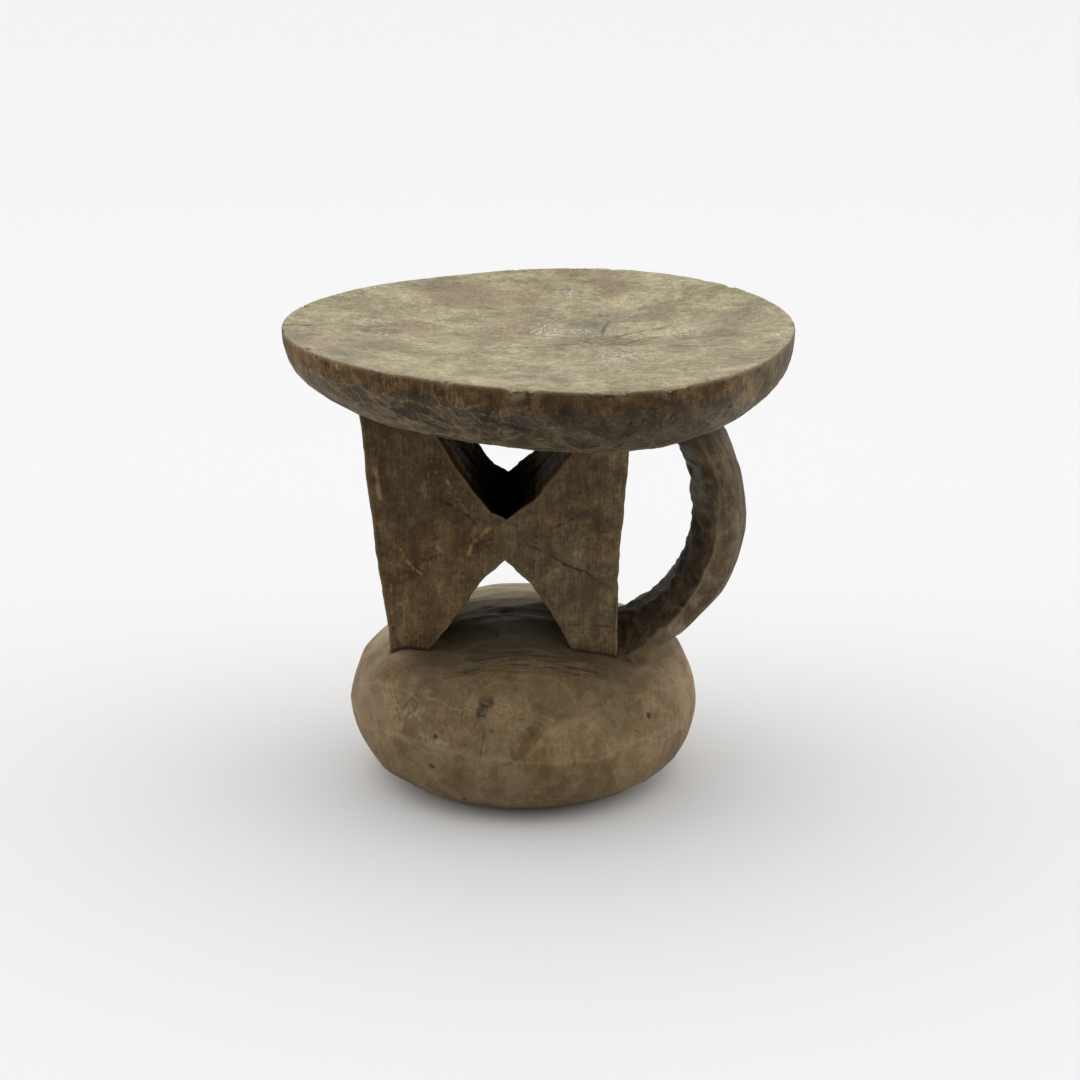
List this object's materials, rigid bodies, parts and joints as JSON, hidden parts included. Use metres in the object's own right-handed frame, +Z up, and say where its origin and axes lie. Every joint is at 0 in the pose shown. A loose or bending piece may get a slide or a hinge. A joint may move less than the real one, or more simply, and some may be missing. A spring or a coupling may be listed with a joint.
{
  "type": "carved stool",
  "caption": "Low carved wooden stool: dished egg-shaped seat on a notched X-shaped block, a C-shaped side handle and a domed round base.",
  "frame": {"origin": "middle of the base's flat underside, on the floor", "axes": "+Z up; +X towards the carrying handle; -Y is the front, which the flat panel of the support block faces"},
  "size_m": [0.295, 0.302, 0.275],
  "materials": {
    "seat_wood": "worn khaki-brown sitting face, rough dark-brown adzed side",
    "block_wood": "dark smoked brown, matt, vertical grain, scratched",
    "handle_wood": "dark brown, matt, adzed and hand-worn",
    "base_wood": "taupe-brown, softly worn, matt"
  },
  "bodies": {
    "root": {"seat": "seat_wood", "support_block": "block_wood", "handle": "handle_wood", "base": "base_wood"}
  },
  "joints": []
}
